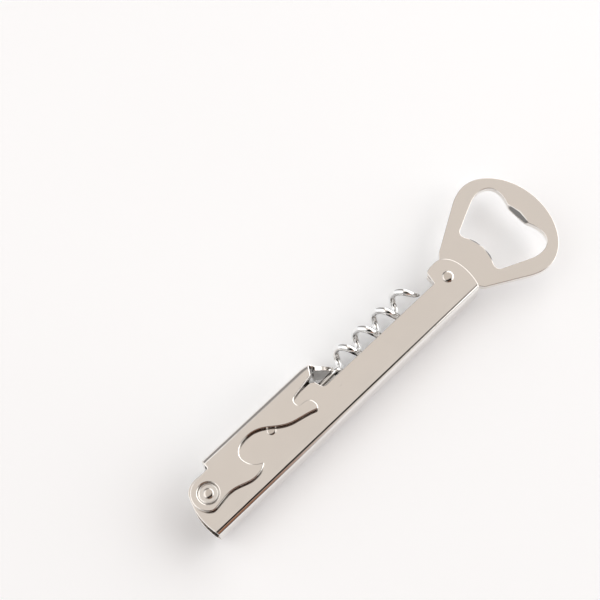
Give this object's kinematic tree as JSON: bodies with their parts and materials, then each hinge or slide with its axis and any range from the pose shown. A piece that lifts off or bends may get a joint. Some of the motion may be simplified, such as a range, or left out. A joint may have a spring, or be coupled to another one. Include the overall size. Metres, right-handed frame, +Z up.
{
  "type": "lever corkscrew",
  "caption": "Folding waiter's corkscrew of pressed plated steel: a channel handle, a notched rim lever, a fold-out worm and a flat crown-cap opener head.",
  "frame": {"origin": "on the surface the corkscrew lies on, under the middle of its outline", "axes": "+X along the handle from the lever pivot to the opener head, +Y towards the open side of the channel where the lever and the worm fold out, +Z up, square to the flat sides"},
  "size_m": [0.1479, 0.038, 0.0146],
  "materials": {
    "handle_plating": "satin-bright nickel and chrome plating on pressed steel",
    "lever_plating": "satin-bright nickel and chrome plating on pressed steel",
    "opener_plate": "satin-bright plating on a blanked steel plate",
    "worm_wire": "bright plated steel wire",
    "rivet": "bright plated rivet head",
    "bearing_ring": "bright plated pressed ring",
    "spacer": "plain turned steel"
  },
  "bodies": {
    "handle": {"handle_channel": "handle_plating", "opener_head": "opener_plate", "head_rivet": "rivet", "head_spacer_front": "spacer", "head_spacer_rear": "spacer", "lever_pivot_rivet": "rivet", "lever_ring_front": "bearing_ring", "lever_ring_rear": "bearing_ring", "pivot_sleeve": "spacer", "worm_pin": "rivet", "worm_spacer_front": "spacer", "worm_spacer_rear": "spacer"},
    "lever": {"lever": "lever_plating"},
    "worm": {"worm": "worm_wire"}
  },
  "joints": [
    {"name": "lever_swing", "type": "hinge", "parent": "handle", "child": "lever", "pos_m": [-0.06735, 0.002, 0.0073], "axis": [0, 0, 1], "range_deg": [0, 160]},
    {"name": "worm_swing", "type": "hinge", "parent": "handle", "child": "worm", "pos_m": [-0.04065, 0.0032, 0.0073], "axis": [0, 0, 1], "range_deg": [0, 160]}
  ],
  "couplings": [
    {"joint": "worm_swing", "follows": "lever_swing", "ratio": 1}
  ]
}
